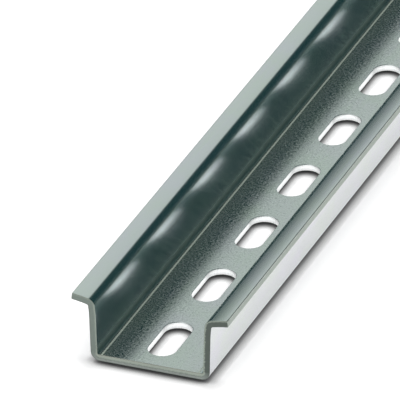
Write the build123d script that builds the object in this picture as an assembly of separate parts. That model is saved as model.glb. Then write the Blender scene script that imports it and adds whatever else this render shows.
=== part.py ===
from build123d import *
import os

os.makedirs("parts", exist_ok=True)

# Section of the top-hat rail
rail_length = 1000.0
overall_width = 35.0
overall_height = 15.0
lip_reach = 4.0
sheet = 1.5
inner_bend_radius = 1.0
lip_rise_deg = 10.0
sheared_edge_radius = 0.2

# Slots along the middle of the web
slot_length = 15.0
slot_width = 6.2
slot_pitch = 25.0
first_slot_centre = 11.4
end_land = 3.0
rim_roll = 0.25

outer_bend_radius = inner_bend_radius + sheet
half_width = overall_width / 2
wall_outer = half_width - lip_reach
wall_inner = wall_outer - sheet


# Section: web on the floor, two walls, two lips that rise slightly outward
def section_half_points():
    """Corners of the right half, from the middle of the web's underside round to its top."""
    lip = Vector(1, 0).rotate(Axis.Z, lip_rise_deg)
    lip_drop = lip.rotate(Axis.Z, -90) * sheet
    rounding_loss = sheared_edge_radius * (lip.X + lip.Y - 1)
    tip_top = Vector(half_width + rounding_loss - lip_drop.X, overall_height + rounding_loss)
    tip_bottom = tip_top + lip_drop
    slope = lip.Y / lip.X
    bend_under = Vector(wall_outer, tip_bottom.Y - (tip_bottom.X - wall_outer) * slope)
    bend_top = Vector(wall_inner, tip_top.Y - (tip_top.X - wall_inner) * slope)
    return {
        "web_outer": Vector(wall_outer, 0),
        "bend_under": bend_under,
        "tip_bottom": tip_bottom,
        "tip_top": tip_top,
        "bend_top": bend_top,
        "web_inner": Vector(wall_inner, sheet),
    }


corner_radius = {
    "web_outer": outer_bend_radius,
    "bend_under": inner_bend_radius,
    "tip_bottom": sheared_edge_radius,
    "tip_top": sheared_edge_radius,
    "bend_top": outer_bend_radius,
    "web_inner": inner_bend_radius,
}

right = section_half_points()
left = {name: Vector(-point.X, point.Y) for name, point in right.items()}
outline = list(right.values()) + list(reversed(left.values()))
section = make_face(Polyline(*outline, close=True))

for name, radius in corner_radius.items():
    for side in (right, left):
        corner = section.vertices().sort_by_distance(side[name])[0]
        section = fillet(corner, radius)

profile = Plane.XZ.offset(-rail_length / 2) * section
rail = extrude(profile, rail_length)

# Slots, punched from above, with a rolled-over upper rim
slot_count = int((rail_length - end_land - slot_length / 2 - first_slot_centre) // slot_pitch) + 1
slot_shape = SlotOverall(slot_length, slot_width, rotation=90)
punch = extrude(slot_shape, sheet)
first_slot = first_slot_centre - rail_length / 2
places = [Location((0, first_slot + i * slot_pitch, 0)) for i in range(slot_count)]
rail -= [place * punch for place in places]

slot_reach = slot_width / 2 + sheet
rims = (
    rail.edges()
    .filter_by(lambda edge: abs(edge.center().Z - sheet) < sheared_edge_radius)
    .filter_by(lambda edge: abs(edge.center().X) < slot_reach)
    .filter_by(lambda edge: edge.length < slot_length)
    .filter_by(lambda edge: abs(edge.center().Y) < rail_length / 2 - end_land / 2)
)
rail = chamfer(rims, rim_roll)

export_step(rail, "parts/rail.step")
print("slots", slot_count, "volume", rail.volume, "valid", rail.is_valid)
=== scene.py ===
import bpy
import math
from mathutils import Matrix, Vector


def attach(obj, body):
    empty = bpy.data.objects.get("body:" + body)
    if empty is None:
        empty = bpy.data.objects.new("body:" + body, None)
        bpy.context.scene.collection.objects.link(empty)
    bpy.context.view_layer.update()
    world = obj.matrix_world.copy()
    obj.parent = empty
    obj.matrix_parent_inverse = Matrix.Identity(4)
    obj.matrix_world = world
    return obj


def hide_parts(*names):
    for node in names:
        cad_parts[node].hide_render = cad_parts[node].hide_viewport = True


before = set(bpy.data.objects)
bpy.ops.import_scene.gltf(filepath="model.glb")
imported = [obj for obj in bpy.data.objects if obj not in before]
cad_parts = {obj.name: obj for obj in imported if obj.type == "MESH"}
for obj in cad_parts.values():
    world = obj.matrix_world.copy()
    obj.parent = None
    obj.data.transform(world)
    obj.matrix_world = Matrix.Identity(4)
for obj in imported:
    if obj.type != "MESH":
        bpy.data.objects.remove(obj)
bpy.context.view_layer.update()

MM = 0.001

# The rail's section, bent from one strip of sheet
LENGTH = 1000.0 * MM
WIDTH = 35.0 * MM
HEIGHT = 15.0 * MM
LIP_REACH = 4.0 * MM
SHEET = 1.5 * MM
WEB_BEND = 0.45 * MM
LIP_BEND = 0.45 * MM
LIP_RISE = math.radians(10.0)
LIP_CAMBER = math.radians(7.0)
WALL_LEAN = math.radians(1.5)
CROWN_BEND = 21.0 * MM
CROWN_TURN = math.radians(7.0)
LIP_SHORTER = 0.2 * MM
SLIT_ROUND = 0.2 * MM

# Slots in the web
SLOT_LONG = 15.0 * MM
SLOT_WIDE = 6.2 * MM
PITCH = 25.0 * MM
FIRST_SLOT = 11.4 * MM
SLOT_COUNT = 40
RIM_ROLL = 0.15 * MM        # the punch drags the upper rim down this much
CLEAN_TO = 0.05 * MM        # height over the middle of the sheet down to which the wall is cut clean
BREAK_AT = -0.3 * MM        # height at which it has begun to break away
BREAK_BEGUN = 0.4           # and by what share of the whole break-out
BREAK_OUT = 0.05 * MM

# Sheared ends
END_ROUND = 0.05 * MM

# Angles along the section, and lengths of the flat strip along the middle of the sheet
half_sheet = SHEET / 2
web_bend = WEB_BEND + half_sheet
lip_bend = LIP_BEND + half_sheet
wall_turn = math.pi / 2 - WALL_LEAN
crown_slope = wall_turn - CROWN_TURN
lip_root = LIP_RISE + LIP_CAMBER / 2
lip_tip = LIP_RISE - LIP_CAMBER / 2
lip_turn = crown_slope - lip_root
corner_gain = SLIT_ROUND * (math.cos(lip_tip) + math.sin(lip_tip) - 1)
tip_x = WIDTH / 2 + corner_gain - half_sheet * math.sin(lip_tip)
tip_z = HEIGHT + corner_gain - half_sheet * math.cos(lip_tip)
upright_lip = (tip_x - WIDTH / 2 + LIP_REACH - LIP_BEND
               + lip_bend * math.sin(LIP_RISE)) / math.cos(LIP_RISE)
lip_flat = upright_lip - LIP_SHORTER
lip_bow = lip_flat / LIP_CAMBER
wall_rise = (tip_z - half_sheet - web_bend * (1 - math.cos(wall_turn))
             - CROWN_BEND * (math.cos(crown_slope) - math.cos(wall_turn))
             - lip_bend * (math.cos(lip_root) - math.cos(crown_slope))
             - lip_bow * (math.cos(lip_tip) - math.cos(lip_root)))
wall_flat = wall_rise / math.sin(wall_turn)
web_flat = (tip_x - web_bend * math.sin(wall_turn) - wall_flat * math.cos(wall_turn)
            - CROWN_BEND * (math.sin(wall_turn) - math.sin(crown_slope))
            - lip_bend * (math.sin(crown_slope) - math.sin(lip_root))
            - lip_bow * (math.sin(lip_root) - math.sin(lip_tip)))
wall_start = web_flat + web_bend * wall_turn
crown_start = wall_start + wall_flat
crown_end = crown_start + CROWN_BEND * CROWN_TURN
lip_start = crown_end + lip_bend * lip_turn
strip_half = lip_start + lip_flat


def node(tree, kind, inputs=None, **settings):
    """Adds one node with its settings; an input is a value or the socket it is linked from."""
    made = tree.nodes.new(kind)
    for name, value in settings.items():
        setattr(made, name, value)
    for key, value in (inputs or {}).items():
        socket = made.inputs[key]
        if isinstance(value, bpy.types.NodeSocket):
            tree.links.new(value, socket)
        else:
            socket.default_value = value
    return made


def linear(hex_colour):
    """An sRGB hex colour as the linear colour that a shader takes."""
    parts = [int(hex_colour[i:i + 2], 16) / 255 for i in (1, 3, 5)]
    lin = [c / 12.92 if c <= 0.04045 else ((c + 0.055) / 1.055) ** 2.4 for c in parts]
    return (*lin, 1.0)


# One pitch of the flat strip, with its slot, as punched before bending.
# x runs across the strip, y along it and z through the sheet, whose middle is z = 0.

WEB_PATCH = 7.5 * MM        # half the width of the patch of rings round a slot
SUPPORT = 0.15 * MM         # rows of points this far from a bend keep the flats flat
RIM_HOLD = 0.05 * MM        # and a ring this far from the rolled rim keeps the web flat
RING_HOLD = 0.3 * MM        # the same on the underside, from the slot's wall
RING_OUT = 1.0 * MM         # where the rings round a slot begin to spread to the patch's edge
STRETCH_FROM = 1.2 * MM     # the end lands are stretched from this far past the end slots
ARC_STEPS = 5
STRAIGHT_STEPS = 3
BEND_STEPS = 7
CROWN_STEPS = 3
LIP_STEPS = 3
CORNER_STEPS = 3
EDGE_STEPS = 4
ROLL_STEPS = 4
ROUND_STEPS = 2
DECIMALS = 9                # places in metres are rounded to this many, to find rows of points
NEARLY_ZERO = 1e-9          # slack in metres, when the points on a line are picked out
WELD = 0.002 * MM           # points closer than this are one point
CUT_DEPTH = 0.02 * MM       # a face whose middle lies this deep in the sheet is a cut face
END_ZONE = 1.0 * MM         # cut faces this near to an end belong to the sheared end


def spread(low, high, steps):
    return [low + (high - low) * i / steps for i in range(steps + 1)]


def mesh_object(name, points, faces):
    mesh = bpy.data.meshes.new(name)
    mesh.from_pydata(points, [], faces)
    mesh.update()
    made = bpy.data.objects.new(name, mesh)
    bpy.context.scene.collection.objects.link(made)
    return made


def slot_rays():
    """Points round the slot: (centre y, direction, matching point on the patch's rectangle)."""
    centre = (SLOT_LONG - SLOT_WIDE) / 2
    ahead = PITCH / 2 - centre
    corner = math.atan2(ahead, WEB_PATCH)
    quarter = spread(0, corner, ARC_STEPS) + spread(corner, math.pi / 2, ARC_STEPS)[1:]
    turn = quarter + [math.pi - a for a in reversed(quarter[:-1])]
    rays = []
    for y in spread(-centre, centre, STRAIGHT_STEPS)[:-1]:
        rays.append((y, (1.0, 0.0), (WEB_PATCH, y)))
    for side, straight in ((1, spread(centre, -centre, STRAIGHT_STEPS)), (-1, None)):
        for a in turn if side == 1 else turn[:-1]:
            c, s = math.cos(a) * side, math.sin(a) * side
            reach = min(WEB_PATCH / max(abs(c), NEARLY_ZERO), ahead / max(abs(s), NEARLY_ZERO))
            rays.append((side * centre, (c, s), (c * reach, side * centre + s * reach)))
        if straight:
            rays += [(y, (-1.0, 0.0), (-WEB_PATCH, y)) for y in straight[1:-1]]
    return rays


def slot_rings():
    """(distance out from the slot's edge, share of the way to the rectangle, height), top to bottom."""
    rings = [(RING_OUT, 1.0, half_sheet), (RING_OUT, 0.5, half_sheet), (RING_OUT, 0.0, half_sheet)]
    rings.append((RIM_ROLL + RIM_HOLD, 0.0, half_sheet))
    for a in spread(0, math.pi / 2, ROLL_STEPS):
        rings.append((RIM_ROLL * (1 - math.sin(a)), 0.0, half_sheet - RIM_ROLL * (1 - math.cos(a))))
    rings.append((0.0, 0.0, CLEAN_TO))
    rings.append((BREAK_OUT * BREAK_BEGUN, 0.0, BREAK_AT))
    for a in spread(0, math.pi / 2, ROUND_STEPS):
        rings.append((BREAK_OUT * (2 - math.cos(a)), 0.0, BREAK_OUT * (1 - math.sin(a)) - half_sheet))
    rings.append((RING_HOLD, 0.0, -half_sheet))
    rings.append((RING_OUT, 0.0, -half_sheet))
    rings += [(RING_OUT, 0.5, -half_sheet), (RING_OUT, 1.0, -half_sheet)]
    return rings


def strip_columns():
    """(distance from the strip's middle, height): the top out to the slit edge, the edge, the underside."""
    across = [WEB_PATCH, web_flat - SUPPORT] + spread(web_flat, wall_start, BEND_STEPS)
    across += [wall_start + SUPPORT, crown_start - SUPPORT]
    across += spread(crown_start, crown_end, CROWN_STEPS)[:-1]
    across += spread(crown_end, lip_start, BEND_STEPS)
    across += spread(lip_start, strip_half, LIP_STEPS)[1:-1]
    top = [(s, half_sheet) for s in across]
    flat_edge = half_sheet - SLIT_ROUND
    for a in spread(0, math.pi / 2, CORNER_STEPS):
        top.append((strip_half - SLIT_ROUND * (1 - math.sin(a)), flat_edge + SLIT_ROUND * math.cos(a)))
    edge = [(strip_half, h) for h in spread(flat_edge, -flat_edge, EDGE_STEPS)[1:-1]]
    return top, edge, [(s, -h) for s, h in reversed(top)]


def punched_pitch():
    """The mesh of one pitch: a patch of rings round the slot, and a band each side of it."""
    points, faces = [], []
    rays = slot_rays()
    for out, share, height in slot_rings():
        for y, (c, s), (far_x, far_y) in rays:
            x0 = c * (SLOT_WIDE / 2 + out)
            y0 = y + s * (SLOT_WIDE / 2 + out)
            points.append((x0 + (far_x - x0) * share, y0 + (far_y - y0) * share, height))
    n = len(rays)
    for ring in range(len(slot_rings()) - 1):
        for i in range(n):
            a, b = ring * n + i, ring * n + (i + 1) % n
            faces.append((a, b, b + n, a + n))
    rows = sorted({round(q[1], DECIMALS) for _, _, q in rays if abs(q[0] - WEB_PATCH) < NEARLY_ZERO})
    top, edge, bottom = strip_columns()
    columns = top + edge + bottom
    for side in (1, -1):
        start = len(points)
        points += [(side * s, y, h) for s, h in columns for y in rows]
        for c in range(len(columns) - 1):
            for r in range(len(rows) - 1):
                a = start + c * len(rows) + r
                quad = (a, a + len(rows), a + len(rows) + 1, a + 1)
                faces.append(quad if side == 1 else quad[::-1])
    return mesh_object("punched_pitch", points, faces)


def sheared_end():
    """The mesh that closes the strip at y = 0, facing -y, with its edges slightly rounded."""
    patch = sorted({round(q[0], DECIMALS) for _, _, q in slot_rays() if q[1] > PITCH / 2 - NEARLY_ZERO})
    top, _, _ = strip_columns()
    right = [p for p in top if p[0] > WEB_PATCH + NEARLY_ZERO]
    upper = [(-s, h) for s, h in reversed(right)] + [(s, half_sheet) for s in patch] + right
    corner_s = strip_half - SLIT_ROUND
    corner_h = half_sheet - SLIT_ROUND

    def inset(s, h, depth):
        """The point moved in by depth: straight down on the flats, towards the centre on a rounded corner."""
        if abs(s) <= corner_s:
            return s, h - depth
        shrink = 1 - depth / SLIT_ROUND
        side = math.copysign(1, s)
        return side * (corner_s + (abs(s) - corner_s) * shrink), corner_h + (h - corner_h) * shrink

    points, faces = [], []
    depths = [END_ROUND * (1 - math.cos(a)) for a in spread(0, math.pi / 2, ROUND_STEPS)]
    backs = [END_ROUND * (1 - math.sin(a)) for a in spread(0, math.pi / 2, ROUND_STEPS)]
    count = len(upper)
    loop = [(i, 0.0) for i in range(count)]
    loop += [(count - 1, j / EDGE_STEPS) for j in range(1, EDGE_STEPS)]
    loop += [(i, 1.0) for i in range(count - 1, -1, -1)]
    loop += [(0, 1 - j / EDGE_STEPS) for j in range(1, EDGE_STEPS)]
    for depth, back in zip(depths, backs):
        for i, down in loop:
            s, h = inset(*upper[i], depth)
            points.append((s, back, h * (1 - 2 * down)))
    n = len(loop)
    for ring in range(len(depths) - 1):
        for i in range(n):
            a, b = ring * n + i, ring * n + (i + 1) % n
            faces.append((a, a + n, b + n, b))
    start = len(points)
    for i in range(count):
        s, h = inset(*upper[i], END_ROUND)
        points += [(s, 0.0, h * (1 - 2 * j / EDGE_STEPS)) for j in range(EDGE_STEPS + 1)]
    for i in range(count - 1):
        for j in range(EDGE_STEPS):
            a = start + i * (EDGE_STEPS + 1) + j
            faces.append((a, a + EDGE_STEPS + 1, a + EDGE_STEPS + 2, a + 1)[::-1])
    return mesh_object("sheared_end", points, faces)


def rail_tree(zinc, sheared, punched):
    """Repeats the punched pitch along the strip, closes the ends, and bends the strip to the section."""
    tree = bpy.data.node_groups.new("roll_formed_rail", "GeometryNodeTree")
    face = tree.interface
    for name, kind in (
        ("Punched pitch", "NodeSocketObject"),
        ("Sheared end", "NodeSocketObject"),
        ("Slots", "NodeSocketInt"),
        ("Length", "NodeSocketFloat"),
        ("Pitch", "NodeSocketFloat"),
        ("First slot", "NodeSocketFloat"),
        ("Slot reach", "NodeSocketFloat"),
        ("End round", "NodeSocketFloat"),
        ("Sheet", "NodeSocketFloat"),
        ("Web flat", "NodeSocketFloat"),
        ("Wall bend", "NodeSocketFloat"),
        ("Wall turn", "NodeSocketFloat"),
        ("Wall flat", "NodeSocketFloat"),
        ("Crown bend", "NodeSocketFloat"),
        ("Crown turn", "NodeSocketFloat"),
        ("Lip bend", "NodeSocketFloat"),
        ("Lip turn", "NodeSocketFloat"),
        ("Lip bow", "NodeSocketFloat"),
        ("Lip camber", "NodeSocketFloat"),
    ):
        face.new_socket(name, in_out="INPUT", socket_type=kind)
    face.new_socket("Rail", in_out="OUTPUT", socket_type="NodeSocketGeometry")
    given = tree.nodes.new("NodeGroupInput").outputs

    # pitches along the strip, the first one centred on the first slot
    half_long = node(tree, "ShaderNodeMath", {0: given["Length"], 1: 0.5}, operation="MULTIPLY").outputs[0]
    near_end = node(tree, "ShaderNodeMath", {0: half_long, 1: -1.0}, operation="MULTIPLY").outputs[0]
    first = node(tree, "ShaderNodeMath", {0: near_end, 1: given["First slot"]}, operation="ADD").outputs[0]
    places = node(tree, "GeometryNodeMeshLine", {
        "Count": given["Slots"],
        "Start Location": node(tree, "ShaderNodeCombineXYZ", {"Y": first}).outputs[0],
        "Offset": node(tree, "ShaderNodeCombineXYZ", {"Y": given["Pitch"]}).outputs[0],
    })
    pitch_mesh = node(tree, "GeometryNodeObjectInfo", {"Object": given["Punched pitch"]}).outputs["Geometry"]
    pitches = node(tree, "GeometryNodeInstanceOnPoints", {
        "Points": places.outputs[0], "Instance": pitch_mesh,
    })
    strip = node(tree, "GeometryNodeRealizeInstances", {"Geometry": pitches.outputs[0]}).outputs[0]

    # the land before the first slot and after the last one is stretched to the strip's ends
    place = node(tree, "GeometryNodeInputPosition").outputs[0]
    flat = node(tree, "ShaderNodeSeparateXYZ", {0: place}).outputs
    steps = node(tree, "ShaderNodeMath", {0: given["Slots"], 1: 1.0}, operation="SUBTRACT").outputs[0]
    last = node(tree, "ShaderNodeMath", {
        0: steps, 1: given["Pitch"], 2: first,
    }, operation="MULTIPLY_ADD").outputs[0]
    half_pitch = node(tree, "ShaderNodeMath", {0: given["Pitch"], 1: 0.5}, operation="MULTIPLY").outputs[0]
    near_edge = node(tree, "ShaderNodeMath", {0: first, 1: half_pitch}, operation="SUBTRACT").outputs[0]
    near_from = node(tree, "ShaderNodeMath", {
        0: first, 1: given["Slot reach"],
    }, operation="SUBTRACT").outputs[0]
    far_edge = node(tree, "ShaderNodeMath", {0: last, 1: half_pitch}, operation="ADD").outputs[0]
    far_from = node(tree, "ShaderNodeMath", {0: last, 1: given["Slot reach"]}, operation="ADD").outputs[0]
    near_stop = node(tree, "ShaderNodeMath", {0: near_end, 1: given["End round"]}, operation="ADD").outputs[0]
    far_stop = node(tree, "ShaderNodeMath", {
        0: half_long, 1: given["End round"],
    }, operation="SUBTRACT").outputs[0]
    near_y = node(tree, "ShaderNodeMapRange", {
        "Value": flat["Y"], "From Min": near_edge, "From Max": near_from,
        "To Min": near_stop, "To Max": near_from,
    }, clamp=False).outputs[0]
    far_y = node(tree, "ShaderNodeMapRange", {
        "Value": flat["Y"], "From Min": far_from, "From Max": far_edge,
        "To Min": far_from, "To Max": far_stop,
    }, clamp=False).outputs[0]
    is_near = node(tree, "ShaderNodeMath", {0: flat["Y"], 1: near_from}, operation="LESS_THAN").outputs[0]
    is_far = node(tree, "ShaderNodeMath", {0: flat["Y"], 1: far_from}, operation="GREATER_THAN").outputs[0]
    y = node(tree, "GeometryNodeSwitch", {
        "Switch": is_near, "False": flat["Y"], "True": near_y,
    }, input_type="FLOAT").outputs[0]
    y = node(tree, "GeometryNodeSwitch", {
        "Switch": is_far, "False": y, "True": far_y,
    }, input_type="FLOAT").outputs[0]
    stretched = node(tree, "ShaderNodeCombineXYZ", {"X": flat["X"], "Y": y, "Z": flat["Z"]}).outputs[0]
    strip = node(tree, "GeometryNodeSetPosition", {"Geometry": strip, "Position": stretched}).outputs[0]

    # sheared ends, the far one turned half round
    end_mesh = node(tree, "GeometryNodeObjectInfo", {"Object": given["Sheared end"]}).outputs["Geometry"]
    joined = node(tree, "GeometryNodeJoinGeometry")
    for end_y, turned in ((half_long, math.pi), (near_end, 0.0)):
        cap = node(tree, "GeometryNodeTransform", {
            "Geometry": end_mesh, "Rotation": (0.0, 0.0, turned),
            "Translation": node(tree, "ShaderNodeCombineXYZ", {"Y": end_y}).outputs[0],
        }).outputs[0]
        tree.links.new(cap, joined.inputs[0])
    tree.links.new(strip, joined.inputs[0])
    whole = node(tree, "GeometryNodeMergeByDistance", {
        "Geometry": joined.outputs[0], "Distance": WELD,
    }).outputs[0]

    # where each point lay on the flat strip, kept as the UV map in metres, and how far it lay
    # from the middle of the sheet, for the bands on its cut faces
    place = node(tree, "GeometryNodeInputPosition").outputs[0]
    flat = node(tree, "ShaderNodeSeparateXYZ", {0: place}).outputs
    on_strip = node(tree, "ShaderNodeCombineXYZ", {"X": flat["X"], "Y": flat["Y"]}).outputs[0]
    whole = node(tree, "GeometryNodeStoreNamedAttribute", {
        "Geometry": whole, "Name": "UVMap", "Value": on_strip,
    }, data_type="FLOAT2", domain="CORNER").outputs[0]
    whole = node(tree, "GeometryNodeStoreNamedAttribute", {
        "Geometry": whole, "Name": "through_sheet", "Value": flat["Z"],
    }, data_type="FLOAT", domain="POINT").outputs[0]

    # roll forming: each stretch of the strip runs straight and then turns about its bend.
    # upright points across the sheet, and turning it about y by the slope bends the strip.
    out = node(tree, "ShaderNodeMath", {0: flat["X"]}, operation="ABSOLUTE").outputs[0]
    side = node(tree, "ShaderNodeMath", {0: flat["X"]}, operation="SIGN").outputs[0]
    half_thick = node(tree, "ShaderNodeMath", {0: given["Sheet"], 1: 0.5}, operation="MULTIPLY").outputs[0]
    middle = node(tree, "ShaderNodeCombineXYZ", {"Z": half_thick}).outputs[0]
    upright, slope, left_over = (0.0, 0.0, 1.0), 0.0, out
    for straight, bend, turn, way in (
        ("Web flat", "Wall bend", "Wall turn", 1.0),
        ("Wall flat", "Crown bend", "Crown turn", -1.0),
        (None, "Lip bend", "Lip turn", -1.0),
        (None, "Lip bow", "Lip camber", -1.0),
    ):
        if straight:
            ahead = node(tree, "ShaderNodeVectorRotate", {
                "Vector": (1.0, 0.0, 0.0), "Angle": slope,
            }, rotation_type="Y_AXIS", invert=True).outputs[0]
            run = node(tree, "ShaderNodeClamp", {"Value": left_over, "Max": given[straight]}).outputs[0]
            middle = node(tree, "ShaderNodeVectorMath", {
                0: ahead, 1: run, 2: middle,
            }, operation="MULTIPLY_ADD").outputs[0]
            left_over = node(tree, "ShaderNodeMath", {
                0: left_over, 1: given[straight],
            }, operation="SUBTRACT").outputs[0]
        arc = node(tree, "ShaderNodeMath", {0: given[bend], 1: given[turn]}, operation="MULTIPLY").outputs[0]
        run = node(tree, "ShaderNodeClamp", {"Value": left_over, "Max": arc}).outputs[0]
        turned = node(tree, "ShaderNodeMath", {0: run, 1: given[bend]}, operation="DIVIDE").outputs[0]
        slope = node(tree, "ShaderNodeMath", {
            0: turned, 1: way, 2: slope,
        }, operation="MULTIPLY_ADD").outputs[0]
        after = node(tree, "ShaderNodeVectorRotate", {
            "Vector": (0.0, 0.0, 1.0), "Angle": slope,
        }, rotation_type="Y_AXIS", invert=True).outputs[0]
        reach = node(tree, "ShaderNodeMath", {0: given[bend], 1: way}, operation="MULTIPLY").outputs[0]
        swing = node(tree, "ShaderNodeVectorMath", {0: upright, 1: after}, operation="SUBTRACT").outputs[0]
        middle = node(tree, "ShaderNodeVectorMath", {
            0: swing, 1: reach, 2: middle,
        }, operation="MULTIPLY_ADD").outputs[0]
        left_over = node(tree, "ShaderNodeMath", {0: left_over, 1: arc}, operation="SUBTRACT").outputs[0]
        upright = after
    bent = node(tree, "ShaderNodeVectorMath", {
        0: upright, 1: flat["Z"], 2: middle,
    }, operation="MULTIPLY_ADD").outputs[0]
    bent = node(tree, "ShaderNodeSeparateXYZ", {0: bent}).outputs
    bent_x = node(tree, "ShaderNodeMath", {0: bent["X"], 1: side}, operation="MULTIPLY").outputs[0]
    bent = node(tree, "ShaderNodeCombineXYZ", {"X": bent_x, "Y": flat["Y"], "Z": bent["Z"]}).outputs[0]

    # cut faces lie deep in the sheet, and those on the web and away from the ends are slot walls
    depth = node(tree, "ShaderNodeMath", {0: flat["Z"]}, operation="ABSOLUTE").outputs[0]
    depth = node(tree, "ShaderNodeMath", {0: half_thick, 1: depth}, operation="SUBTRACT").outputs[0]
    is_cut = node(tree, "ShaderNodeMath", {0: depth, 1: CUT_DEPTH}, operation="GREATER_THAN").outputs[0]
    on_web = node(tree, "ShaderNodeMath", {0: out, 1: given["Web flat"]}, operation="LESS_THAN").outputs[0]
    from_end = node(tree, "ShaderNodeMath", {0: flat["Y"]}, operation="ABSOLUTE").outputs[0]
    from_end = node(tree, "ShaderNodeMath", {0: half_long, 1: from_end}, operation="SUBTRACT").outputs[0]
    not_end = node(tree, "ShaderNodeMath", {0: from_end, 1: END_ZONE}, operation="GREATER_THAN").outputs[0]
    is_slot = node(tree, "ShaderNodeMath", {0: is_cut, 1: on_web}, operation="MULTIPLY").outputs[0]
    is_slot = node(tree, "ShaderNodeMath", {0: is_slot, 1: not_end}, operation="MULTIPLY").outputs[0]
    for name, value in (("cut_face", is_cut), ("slot_wall", is_slot)):
        whole = node(tree, "GeometryNodeStoreNamedAttribute", {
            "Geometry": whole, "Name": name, "Value": value,
        }, data_type="BOOLEAN", domain="FACE").outputs[0]
    whole = node(tree, "GeometryNodeSetPosition", {"Geometry": whole, "Position": bent}).outputs[0]
    whole = node(tree, "GeometryNodeSetShadeSmooth", {"Geometry": whole}).outputs[0]
    whole = node(tree, "GeometryNodeRealizeInstances", {"Geometry": whole}).outputs[0]
    whole = node(tree, "GeometryNodeSetMaterial", {"Geometry": whole, "Material": zinc}).outputs[0]
    for name, material in (("cut_face", sheared), ("slot_wall", punched)):
        chosen = node(tree, "GeometryNodeInputNamedAttribute", {"Name": name}, data_type="BOOLEAN").outputs[0]
        whole = node(tree, "GeometryNodeSetMaterial", {
            "Geometry": whole, "Selection": chosen, "Material": material,
        }).outputs[0]
        whole = node(tree, "GeometryNodeRemoveAttribute", {"Geometry": whole, "Name": name}).outputs[0]
    result = tree.nodes.new("NodeGroupOutput")
    tree.links.new(whole, result.inputs[0])
    return tree


def as_plain_mesh(made, tree, values):
    """Runs the tree on the object, turns the result into a plain mesh and drops the modifier."""
    modifier = made.modifiers.new("shape", "NODES")
    sockets = {s.name: s.identifier for s in tree.interface.items_tree if s.in_out == "INPUT"}
    modifier.node_group = tree
    for name, value in values.items():
        modifier[sockets[name]] = value
    made.modifiers.new("flats_stay_flat", "WEIGHTED_NORMAL")
    bpy.context.view_layer.update()
    shaped = made.evaluated_get(bpy.context.evaluated_depsgraph_get())
    mesh = bpy.data.meshes.new_from_object(shaped)
    made.modifiers.clear()
    made.data = mesh
    mesh.name = made.name
    return made


# Materials. Patterns are laid out in metres, so each scale is one over a size.
# The sockets of a Mix node share their names, so they go by number: 2 and 3 take values,
# 6 and 7 take colours, and output 2 gives the mixed colour.

ETCH_GRAIN = MM / 2.1       # 0.48 mm; the real grain, some 0.05 mm, is finer than the picture shows
ROLL_ACROSS = MM / 1.4      # 0.71 mm wide; real rolling lines are finer and are drawn coarser
ROLL_ALONG = MM / 0.022     # 45 mm long
FILM_BLOTCH = MM / 0.09     # 11 mm, as the passivate drains and dries
TORN_GRAIN = MM / 2.6       # 0.38 mm; torn steel is rough down to some 0.05 mm, and is drawn coarser
PUNCH_STREAK = MM / 3.0     # 0.33 mm; real punch streaks are finer and are drawn coarser
ETCH_DEPTH = 0.12 * MM
TORN_DEPTH = 0.1 * MM


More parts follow.
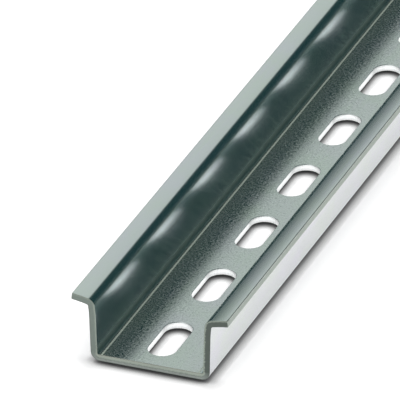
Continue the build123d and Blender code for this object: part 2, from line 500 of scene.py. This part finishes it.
def zinc_plate():
    """Cold-rolled strip, punched, zinc plated and passivated, and then roll formed.

    The rolling lines run along the strip and draw each reflection out across it. The etched
    grain of the plating breaks it up on the web. The eye gets a soft mirror with a faint
    green-blue film, darker and duller in the bend at the foot of each wall, beside which a
    pale line is painted as the crease's highlight.
    """
    material = bpy.data.materials.new("zinc_plated_passivated_steel")
    material.use_nodes = True
    tree = material.node_tree
    tree.nodes.clear()
    where = node(tree, "ShaderNodeTexCoord").outputs["UV"]
    across = node(tree, "ShaderNodeTangent", direction_type="UV_MAP", uv_map="UVMap").outputs[0]
    sides = node(tree, "ShaderNodeSeparateXYZ", {0: where}).outputs
    off_middle = node(tree, "ShaderNodeMath", {0: sides["X"]}, operation="ABSOLUTE").outputs[0]
    through = node(tree, "ShaderNodeAttribute", attribute_name="through_sheet").outputs["Fac"]

    # the inside of the channel, what lies past the web, the inside of the bend at the foot of each wall, and
    # the lip
    inside = node(tree, "ShaderNodeMath", {0: through, 1: 0.0}, operation="GREATER_THAN").outputs[0]
    formed = node(tree, "ShaderNodeMapRange", {
        "Value": off_middle, "From Min": web_flat - 0.3 * MM, "From Max": web_flat + 0.5 * MM,
    }).outputs[0]
    into_bend = node(tree, "ShaderNodeMapRange", {
        "Value": off_middle, "From Min": web_flat - 0.35 * MM, "From Max": web_flat + 0.2 * MM,
    }).outputs[0]
    out_of_bend = node(tree, "ShaderNodeMapRange", {
        "Value": off_middle, "From Min": wall_start + 0.2 * MM, "From Max": wall_start + 1.8 * MM,
        "To Min": 1.0, "To Max": 0.0,
    }).outputs[0]
    # stretched marks the bend at the foot of each wall, inside the channel, which is drawn darker and duller
    stretched = node(tree, "ShaderNodeMath", {0: into_bend, 1: out_of_bend}, operation="MULTIPLY").outputs[0]
    stretched = node(tree, "ShaderNodeMath", {0: stretched, 1: inside}, operation="MULTIPLY").outputs[0]
    on_lip = node(tree, "ShaderNodeMapRange", {
        "Value": off_middle, "From Min": lip_start - 2.0 * MM, "From Max": lip_start,
    }).outputs[0]

    # dullness and relief: etched grain on the web, even on the walls and lips, dullest in the bend
    grain = node(tree, "ShaderNodeTexNoise", {
        "Vector": where, "Scale": 1 / ETCH_GRAIN, "Detail": 2.0,
    }).outputs[0]
    etched = node(tree, "ShaderNodeMapRange", {
        "Value": grain, "From Min": 0.38, "From Max": 0.68, "To Min": 0.12, "To Max": 0.34,
    }).outputs[0]
    dull = node(tree, "ShaderNodeMapRange", {"Value": formed, "To Min": etched, "To Max": 0.21}).outputs[0]
    dull = node(tree, "ShaderNodeMapRange", {"Value": stretched, "To Min": dull, "To Max": 0.36}).outputs[0]
    relief = node(tree, "ShaderNodeMapRange", {"Value": formed, "To Min": 0.14, "To Max": 0.0}).outputs[0]
    facet = node(tree, "ShaderNodeBump", {
        "Height": grain, "Strength": relief, "Distance": ETCH_DEPTH,
    }).outputs[0]

    # colour: blotches of film and rolling lines, between two tints for each part of the section
    drawn = node(tree, "ShaderNodeMapping", {
        "Vector": where, "Scale": (1 / ROLL_ACROSS, 1 / ROLL_ALONG, 1.0),
    }, vector_type="POINT").outputs[0]
    rolled = node(tree, "ShaderNodeTexNoise", {"Vector": drawn, "Scale": 1.0, "Detail": 2.0}).outputs[0]
    film = node(tree, "ShaderNodeTexNoise", {
        "Vector": where, "Scale": 1 / FILM_BLOTCH, "Detail": 2.0,
    }).outputs[0]
    film = node(tree, "ShaderNodeMix", {"Factor": 0.35, 2: film, 3: rolled}).outputs[0]
    film = node(tree, "ShaderNodeMapRange", {"Value": film, "From Min": 0.35, "From Max": 0.65}).outputs[0]
    web, wall, lip, outside = (
        node(tree, "ShaderNodeMix", {
            "Factor": film, 6: linear(greenest), 7: linear(bluest),
        }, data_type="RGBA").outputs[2]
        for greenest, bluest in (
            ("#CBD6CD", "#D0D4D5"),
            ("#CCDDDA", "#D2DBDF"),
            ("#DAE3DB", "#DDE0E3"),
            ("#C1C6C2", "#C4C4CA"),
        )
    )
    tint = node(tree, "ShaderNodeMix", {"Factor": on_lip, 6: wall, 7: lip}, data_type="RGBA").outputs[2]
    tint = node(tree, "ShaderNodeMix", {"Factor": formed, 6: web, 7: tint}, data_type="RGBA").outputs[2]
    tint = node(tree, "ShaderNodeMix", {"Factor": inside, 6: outside, 7: tint}, data_type="RGBA").outputs[2]
    tint = node(tree, "ShaderNodeMix", {
        "Factor": stretched, 6: tint, 7: linear("#AEBEBB"),
    }, data_type="RGBA").outputs[2]

    # a pale matt line painted along the foot of each wall as the crease's highlight, and a faint haze beside
    # it that thins over the web
    line_from = node(tree, "ShaderNodeMapRange", {
        "Value": off_middle, "From Min": web_flat - 0.8 * MM, "From Max": web_flat - 0.7 * MM,
    }).outputs[0]
    line_to = node(tree, "ShaderNodeMapRange", {
        "Value": off_middle, "From Min": web_flat - 0.45 * MM, "From Max": web_flat - 0.25 * MM,
        "To Min": 1.0, "To Max": 0.0,
    }).outputs[0]
    line = node(tree, "ShaderNodeMath", {0: line_from, 1: line_to}, operation="MULTIPLY").outputs[0]
    beside = node(tree, "ShaderNodeMapRange", {
        "Value": off_middle, "From Min": web_flat - 4.0 * MM, "From Max": web_flat - 0.8 * MM,
        "To Min": 0.03, "To Max": 0.15,
    }).outputs[0]
    on_web = node(tree, "ShaderNodeMapRange", {"Value": formed, "To Min": 1.0, "To Max": 0.0}).outputs[0]
    haze = node(tree, "ShaderNodeMath", {0: beside, 1: on_web}, operation="MULTIPLY").outputs[0]
    crease_highlight_and_haze = node(tree, "ShaderNodeMath", {0: line, 1: haze}, operation="MAXIMUM").outputs[0]
    crease_highlight_and_haze = node(tree, "ShaderNodeMath", {0: crease_highlight_and_haze, 1: inside}, operation="MULTIPLY").outputs[0]

    plate = node(tree, "ShaderNodeBsdfPrincipled", {
        "Base Color": tint, "Metallic": 1.0, "Roughness": dull, "Anisotropic": 0.62,
        "Tangent": across, "Normal": facet,
    })
    # a pale matt paint that draws the crease's painted highlight and the haze beside it
    pale_diffuse_paint = node(tree, "ShaderNodeBsdfPrincipled", {
        "Base Color": linear("#A3AEA2"), "Metallic": 0.0, "Roughness": 0.45,
    })
    both = node(tree, "ShaderNodeMixShader", {0: crease_highlight_and_haze, 1: plate.outputs[0], 2: pale_diffuse_paint.outputs[0]})
    node(tree, "ShaderNodeOutputMaterial", {"Surface": both.outputs[0]})
    return material


def sheared_steel():
    """Cut ends and slit edges: bare steel, sheared after plating.

    The shear burnishes a band on the side it enters, and the rest of the sheet tears off.
    The eye gets a smoother greenish band towards the inside of the channel, a duller grey
    one outside it with a dark ragged line between them, and a thin line along each rim,
    lighter on the walls as a painted highlight of the rolled-over rim.
    """
    material = bpy.data.materials.new("sheared_steel_edge")
    material.use_nodes = True
    tree = material.node_tree
    tree.nodes.clear()
    through = node(tree, "ShaderNodeAttribute", attribute_name="through_sheet").outputs["Fac"]
    coords = node(tree, "ShaderNodeTexCoord").outputs
    strip = node(tree, "ShaderNodeSeparateXYZ", {0: coords["UV"]}).outputs
    off_middle = node(tree, "ShaderNodeMath", {0: strip["X"]}, operation="ABSOLUTE").outputs[0]
    right_side = node(tree, "ShaderNodeMath", {0: strip["X"], 1: 0.0}, operation="GREATER_THAN").outputs[0]
    upright = node(tree, "ShaderNodeMapRange", {
        "Value": off_middle, "From Min": web_flat, "From Max": web_flat + 2.0 * MM,
    }).outputs[0]
    level = node(tree, "ShaderNodeMapRange", {"Value": upright, "To Min": 1.0, "To Max": 0.0}).outputs[0]

    # the ragged border between the burnished band and the torn one, narrower on the walls
    torn = node(tree, "ShaderNodeTexNoise", {
        "Vector": coords["Object"], "Scale": 1 / TORN_GRAIN, "Detail": 3.0,
    }).outputs[0]
    ragged = node(tree, "ShaderNodeMapRange", {
        "Value": torn, "To Min": -0.5 * MM, "To Max": 0.5 * MM,
    }).outputs[0]
    border = node(tree, "ShaderNodeMapRange", {
        "Value": upright, "To Min": -0.1 * MM, "To Max": 0.45 * MM,
    }).outputs[0]
    past = node(tree, "ShaderNodeMath", {0: through, 1: border}, operation="SUBTRACT").outputs[0]
    past = node(tree, "ShaderNodeMath", {0: past, 1: ragged}, operation="ADD").outputs[0]
    band = node(tree, "ShaderNodeMapRange", {
        "Value": past, "From Min": -0.06 * MM, "From Max": 0.06 * MM,
    }).outputs[0]

    # colours of the two bands, and the torn line between them on the web
    wall_cut = node(tree, "ShaderNodeMix", {
        "Factor": right_side, 6: linear("#77807A"), 7: linear("#585F5A"),
    }, data_type="RGBA").outputs[2]
    broken = node(tree, "ShaderNodeMix", {
        "Factor": upright, 6: linear("#8F9591"), 7: wall_cut,
    }, data_type="RGBA").outputs[2]
    burnished = node(tree, "ShaderNodeMix", {
        "Factor": upright, 6: linear("#8B938A"), 7: linear("#818A81"),
    }, data_type="RGBA").outputs[2]
    end_colour = node(tree, "ShaderNodeMix", {
        "Factor": band, 6: broken, 7: burnished,
    }, data_type="RGBA").outputs[2]
    off_border = node(tree, "ShaderNodeMath", {0: past}, operation="ABSOLUTE").outputs[0]
    tear = node(tree, "ShaderNodeMapRange", {
        "Value": off_border, "From Min": 0.06 * MM, "From Max": 0.2 * MM, "To Min": 0.65, "To Max": 0.0,
    }).outputs[0]
    tear = node(tree, "ShaderNodeMath", {0: tear, 1: level}, operation="MULTIPLY").outputs[0]
    end_colour = node(tree, "ShaderNodeMix", {
        "Factor": tear, 6: end_colour, 7: linear("#666D67"),
    }, data_type="RGBA").outputs[2]

    # the rolled-over rim where the shear entered, a thin line that is a painted highlight on the walls and
    # darker on the web, and the burr where it left
    rim_line_with_highlight = node(tree, "ShaderNodeMapRange", {
        "Value": through, "From Min": 0.5 * MM, "From Max": 0.6 * MM,
    }).outputs[0]
    rim_colour_with_highlight = node(tree, "ShaderNodeMix", {
        "Factor": upright, 6: linear("#7F8179"), 7: linear("#7F877E"),
    }, data_type="RGBA").outputs[2]
    end_colour = node(tree, "ShaderNodeMix", {
        "Factor": rim_line_with_highlight, 6: end_colour, 7: rim_colour_with_highlight,
    }, data_type="RGBA").outputs[2]
    burr_line = node(tree, "ShaderNodeMapRange", {
        "Value": through, "From Min": -0.58 * MM, "From Max": -0.66 * MM,
    }).outputs[0]
    burr_colour = node(tree, "ShaderNodeMix", {
        "Factor": upright, 6: linear("#7D857F"), 7: linear("#5B625E"),
    }, data_type="RGBA").outputs[2]
    end_colour = node(tree, "ShaderNodeMix", {
        "Factor": burr_line, 6: end_colour, 7: burr_colour,
    }, data_type="RGBA").outputs[2]

    # the slit edges of the lips are lighter and evenly mottled
    slit = node(tree, "ShaderNodeMath", {
        0: off_middle, 1: strip_half - 0.06 * MM,
    }, operation="GREATER_THAN").outputs[0]
    mottle = node(tree, "ShaderNodeMix", {
        "Factor": torn, 6: linear("#98A099"), 7: linear("#A8AFA8"),
    }, data_type="RGBA").outputs[2]
    colour = node(tree, "ShaderNodeMix", {
        "Factor": slit, 6: end_colour, 7: mottle,
    }, data_type="RGBA").outputs[2]

    rough = node(tree, "ShaderNodeMapRange", {"Value": band, "To Min": 0.55, "To Max": 0.38}).outputs[0]
    uneven = node(tree, "ShaderNodeMapRange", {"Value": band, "To Min": 0.35, "To Max": 0.08}).outputs[0]
    face = node(tree, "ShaderNodeBump", {
        "Height": torn, "Strength": uneven, "Distance": TORN_DEPTH,
    }).outputs[0]
    shader = node(tree, "ShaderNodeBsdfPrincipled", {
        "Base Color": colour, "Metallic": 1.0, "Roughness": rough, "Normal": face,
    })
    node(tree, "ShaderNodeOutputMaterial", {"Surface": shader.outputs[0]})
    return material


def punched_steel():
    """Slot walls: punched before plating, so burnished by the punch and then zinc plated.

    The eye gets a bright wall with faint streaks, duller towards the underside, where the
    punch broke the metal away.
    """
    material = bpy.data.materials.new("punched_plated_slot_wall")
    material.use_nodes = True
    tree = material.node_tree
    tree.nodes.clear()
    where = node(tree, "ShaderNodeTexCoord").outputs["UV"]
    through = node(tree, "ShaderNodeAttribute", attribute_name="through_sheet").outputs["Fac"]
    streaks = node(tree, "ShaderNodeTexNoise", {
        "Vector": where, "Scale": 1 / PUNCH_STREAK, "Detail": 2.0,
    }).outputs[0]
    clean = node(tree, "ShaderNodeMapRange", {
        "Value": through, "From Min": -0.35 * MM, "From Max": -0.15 * MM,
    }).outputs[0]
    colour = node(tree, "ShaderNodeMix", {
        "Factor": streaks, 6: linear("#EAEDEC"), 7: linear("#F7F8F8"),
    }, data_type="RGBA").outputs[2]
    rough = node(tree, "ShaderNodeMapRange", {"Value": clean, "To Min": 0.5, "To Max": 0.3}).outputs[0]
    shader = node(tree, "ShaderNodeBsdfPrincipled", {
        "Base Color": colour, "Metallic": 1.0, "Roughness": rough,
    })
    node(tree, "ShaderNodeOutputMaterial", {"Surface": shader.outputs[0]})
    return material


zinc = zinc_plate()
sheared = sheared_steel()
punched = punched_steel()
tree = rail_tree(zinc, sheared, punched)
pitch_blank = punched_pitch()
end_blank = sheared_end()
for blank in (pitch_blank, end_blank):
    blank.data.materials.append(zinc)
rail = mesh_object("rail_skin", [(0, 0, 0)], [])
as_plain_mesh(rail, tree, {
    "Punched pitch": pitch_blank,
    "Sheared end": end_blank,
    "Slots": SLOT_COUNT,
    "Length": LENGTH,
    "Pitch": PITCH,
    "First slot": FIRST_SLOT,
    "Slot reach": SLOT_LONG / 2 + STRETCH_FROM,
    "End round": END_ROUND,
    "Sheet": SHEET,
    "Web flat": web_flat,
    "Wall bend": web_bend,
    "Wall turn": wall_turn,
    "Wall flat": wall_flat,
    "Crown bend": CROWN_BEND,
    "Crown turn": CROWN_TURN,
    "Lip bend": lip_bend,
    "Lip turn": lip_turn,
    "Lip bow": lip_bow,
    "Lip camber": LIP_CAMBER,
})
for blank in (pitch_blank, end_blank):
    bpy.data.objects.remove(blank)
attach(rail, "root")
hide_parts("rail")

# Floor, world, reflection dome and lamps

FLOOR_Z = -0.7 * MM         # the rail isn't quite flat and stands this much off the paper
FLOOR_HALF = 40.0
DOME_RADIUS = 4.0
DOME_RINGS = 24
DOME_TURNS = 72
DOME_TOP = math.radians(86)


def white_paper():
    """Smooth white paper, matt, seen as clean white all round the rail.

    It darkens only where the rail keeps the light off: in a thin line beside it, and in a
    wider one in front of the cut end. The little light of its own that it gives holds it
    at the photo's white, both seen directly and in the metal.
    """
    material = bpy.data.materials.new("white_paper_floor")
    material.use_nodes = True
    tree = material.node_tree
    tree.nodes.clear()
    path = node(tree, "ShaderNodeLightPath").outputs
    # ambient occlusion darkens the paper's colour and its glow: a painted shadow beside the rail and in front
    # of its cut end
    wide, beside, close = (
        node(tree, "ShaderNodeAmbientOcclusion", {"Distance": reach}, samples=16).outputs["AO"]
        for reach in (5.0 * MM, 2.4 * MM, 1.2 * MM)
    )
    at = node(tree, "ShaderNodeTexCoord").outputs["Object"]
    along = node(tree, "ShaderNodeSeparateXYZ", {0: at}).outputs["Y"]
    in_front = node(tree, "ShaderNodeMapRange", {
        "Value": along, "From Min": 3.0 * MM - LENGTH / 2, "From Max": -1.0 * MM - LENGTH / 2,
    }).outputs[0]
    open_sky = node(tree, "ShaderNodeMix", {"Factor": in_front, 2: beside, 3: wide}).outputs[0]
    open_sky = node(tree, "ShaderNodeMath", {0: open_sky, 1: close}, operation="MULTIPLY").outputs[0]
    deepened = node(tree, "ShaderNodeMapRange", {
        "Value": path["Is Camera Ray"], "To Min": 0.1, "To Max": 1.5,
    }).outputs[0]
    open_sky = node(tree, "ShaderNodeMath", {0: open_sky, 1: deepened}, operation="POWER").outputs[0]
    open_sky = node(tree, "ShaderNodeMapRange", {"Value": open_sky, "To Min": 0.05, "To Max": 1.0}).outputs[0]
    white = node(tree, "ShaderNodeMath", {0: open_sky, 1: 0.95}, operation="MULTIPLY").outputs[0]
    lift = node(tree, "ShaderNodeMath", {0: path["Is Camera Ray"], 1: 0.3}, operation="MULTIPLY").outputs[0]
    lift = node(tree, "ShaderNodeMath", {
        0: path["Is Glossy Ray"], 1: 0.45, 2: lift,
    }, operation="MULTIPLY_ADD").outputs[0]
    lift = node(tree, "ShaderNodeMath", {0: lift, 1: open_sky}, operation="MULTIPLY").outputs[0]
    matt = node(tree, "ShaderNodeBsdfDiffuse", {"Color": white})
    glow = node(tree, "ShaderNodeEmission", {"Strength": lift})
    both = node(tree, "ShaderNodeAddShader", {0: matt.outputs[0], 1: glow.outputs[0]})
    node(tree, "ShaderNodeOutputMaterial", {"Surface": both.outputs[0]})
    return material


def white_studio():
    """An even white world, a little weaker as light than as it is seen."""
    world = bpy.data.worlds.new("white_studio")
    world.use_nodes = True
    tree = world.node_tree
    tree.nodes.clear()
    path = node(tree, "ShaderNodeLightPath").outputs
    seen = node(tree, "ShaderNodeMath", {
        0: path["Is Camera Ray"], 1: path["Is Glossy Ray"],
    }, operation="ADD").outputs[0]
    seen = node(tree, "ShaderNodeMath", {
        0: seen, 1: path["Is Transmission Ray"],
    }, operation="ADD", use_clamp=True).outputs[0]
    level = node(tree, "ShaderNodeMapRange", {"Value": seen, "To Min": 0.82, "To Max": 1.0}).outputs[0]
    back = node(tree, "ShaderNodeBackground", {"Color": linear("#FFFFFF"), "Strength": level})
    node(tree, "ShaderNodeOutputWorld", {"Surface": back.outputs[0]})
    return world


def studio_paint():
    """What the metal mirrors: a dark wall on the right, one low down on the left, a lit ceiling between.

    The two soft edges run along the rail, so they show in it as long even bands. Angles are
    taken round the rail, from level on its right over the top.
    """
    material = bpy.data.materials.new("studio_walls_and_ceiling")
    material.use_nodes = True
    tree = material.node_tree
    tree.nodes.clear()
    at = node(tree, "ShaderNodeTexCoord").outputs["Object"]
    way = node(tree, "ShaderNodeVectorMath", {0: at}, operation="NORMALIZE").outputs[0]
    axes = node(tree, "ShaderNodeSeparateXYZ", {0: way}).outputs
    round_rail = node(tree, "ShaderNodeMath", {0: axes["Z"], 1: axes["X"]}, operation="ARCTAN2").outputs[0]
    right_edge = node(tree, "ShaderNodeMapRange", {
        "Value": round_rail, "From Min": math.radians(84), "From Max": math.radians(90),
    }, interpolation_type="SMOOTHSTEP").outputs[0]
    left_edge = node(tree, "ShaderNodeMapRange", {
        "Value": round_rail, "From Min": math.radians(137), "From Max": math.radians(149),
        "To Min": 1.0, "To Max": 0.0,
    }, interpolation_type="SMOOTHSTEP").outputs[0]
    lit = node(tree, "ShaderNodeMath", {0: right_edge, 1: left_edge}, operation="MULTIPLY").outputs[0]
    colour = node(tree, "ShaderNodeMix", {
        "Factor": lit, 6: linear("#243F41"), 7: linear("#D1D8D7"),
    }, data_type="RGBA").outputs[2]
    glow = node(tree, "ShaderNodeEmission", {"Color": colour, "Strength": 1.0})
    node(tree, "ShaderNodeOutputMaterial", {"Surface": glow.outputs[0]})
    return material


def studio_dome():
    """A half sphere round the rail, seen only in its reflections."""
    points = [
        tuple(DOME_RADIUS * c for c in (math.cos(e) * math.cos(a), math.cos(e) * math.sin(a), math.sin(e)))
        for e in spread(0, DOME_TOP, DOME_RINGS) for a in spread(0, 2 * math.pi, DOME_TURNS)[:-1]
    ]
    faces = []
    for r in range(DOME_RINGS):
        for i in range(DOME_TURNS):
            a, b = r * DOME_TURNS + i, r * DOME_TURNS + (i + 1) % DOME_TURNS
            faces.append((a, a + DOME_TURNS, b + DOME_TURNS, b))
    faces.append([DOME_RINGS * DOME_TURNS + i for i in range(DOME_TURNS)])
    dome = mesh_object("studio_dome", points, faces)
    dome.data.materials.append(studio_paint())
    dome.visible_camera = False
    dome.visible_diffuse = False
    dome.visible_shadow = False
    dome.visible_transmission = False
    return dome


def softbox(name, place, target, size, watts):
    """A rectangular lamp at place, turned to the target and hidden from the camera."""
    lamp = bpy.data.lights.new(name, "AREA")
    lamp.shape = "RECTANGLE"
    lamp.size, lamp.size_y = size
    lamp.energy = watts
    made = bpy.data.objects.new(name, lamp)
    bpy.context.scene.collection.objects.link(made)
    made.location = place
    made.rotation_mode = "QUATERNION"
    made.rotation_quaternion = (Vector(target) - Vector(place)).to_track_quat("-Z", "Y")
    made.visible_camera = False
    return made


corners = [(x * FLOOR_HALF, y * FLOOR_HALF, FLOOR_Z) for x, y in ((-1, -1), (1, -1), (1, 1), (-1, 1))]
floor = mesh_object("floor", corners, [(0, 1, 2, 3)])
floor.data.materials.append(white_paper())
bpy.context.scene.world = white_studio()
dome = studio_dome()
# lamps, with place and size in metres; the world does most of the lighting
for name, place, size, watts in (
    ("key_softbox", (-0.1, 0.35, 1.9), (0.9, 0.9), 10.0),
    ("right_softbox", (1.5, -0.2, 1.4), (0.8, 0.8), 8.0),
):
    softbox(name, place, (0, -0.4, 0), size, watts).visible_glossy = False

# Camera, placed as the photographer stood: front right, above, with a long lens.
# All of it comes from a fit to the places of edges and slots in the photo.
AZIMUTH = math.radians(21.762)
ELEVATION = math.radians(28.27)
ROLL = math.radians(-0.573)
DISTANCE = 1907.5 * MM
FOCAL_PX = 9176.0
FRAME_PX = 400
ORIGIN_PX = (150.18, 370.18)    # where the foot of the near end, on the middle line, lies in the picture
SENSOR = 36.0

look = Vector((
    -math.sin(AZIMUTH) * math.cos(ELEVATION),
    math.cos(AZIMUTH) * math.cos(ELEVATION),
    -math.sin(ELEVATION),
))
flat_right = look.cross(Vector((0, 0, 1))).normalized()
flat_up = flat_right.cross(look)
right = math.cos(ROLL) * flat_right + math.sin(ROLL) * flat_up
up = -math.sin(ROLL) * flat_right + math.cos(ROLL) * flat_up
front = Vector((0, -LENGTH / 2, 0))
middle = FRAME_PX / 2
eye = front - look * DISTANCE
eye -= right * (ORIGIN_PX[0] - middle) / FOCAL_PX * DISTANCE
eye += up * (ORIGIN_PX[1] - middle) / FOCAL_PX * DISTANCE
lens = bpy.data.cameras.new("camera")
lens.sensor_width = SENSOR
lens.lens = SENSOR * FOCAL_PX / FRAME_PX
lens.clip_start = 0.1
lens.clip_end = 100.0
camera = bpy.data.objects.new("camera", lens)
bpy.context.scene.collection.objects.link(camera)
turned = Matrix((right, up, -look)).transposed()
camera.matrix_world = Matrix.Translation(eye) @ turned.to_4x4()
bpy.context.scene.camera = camera
bpy.context.scene.view_settings.view_transform = "Standard"
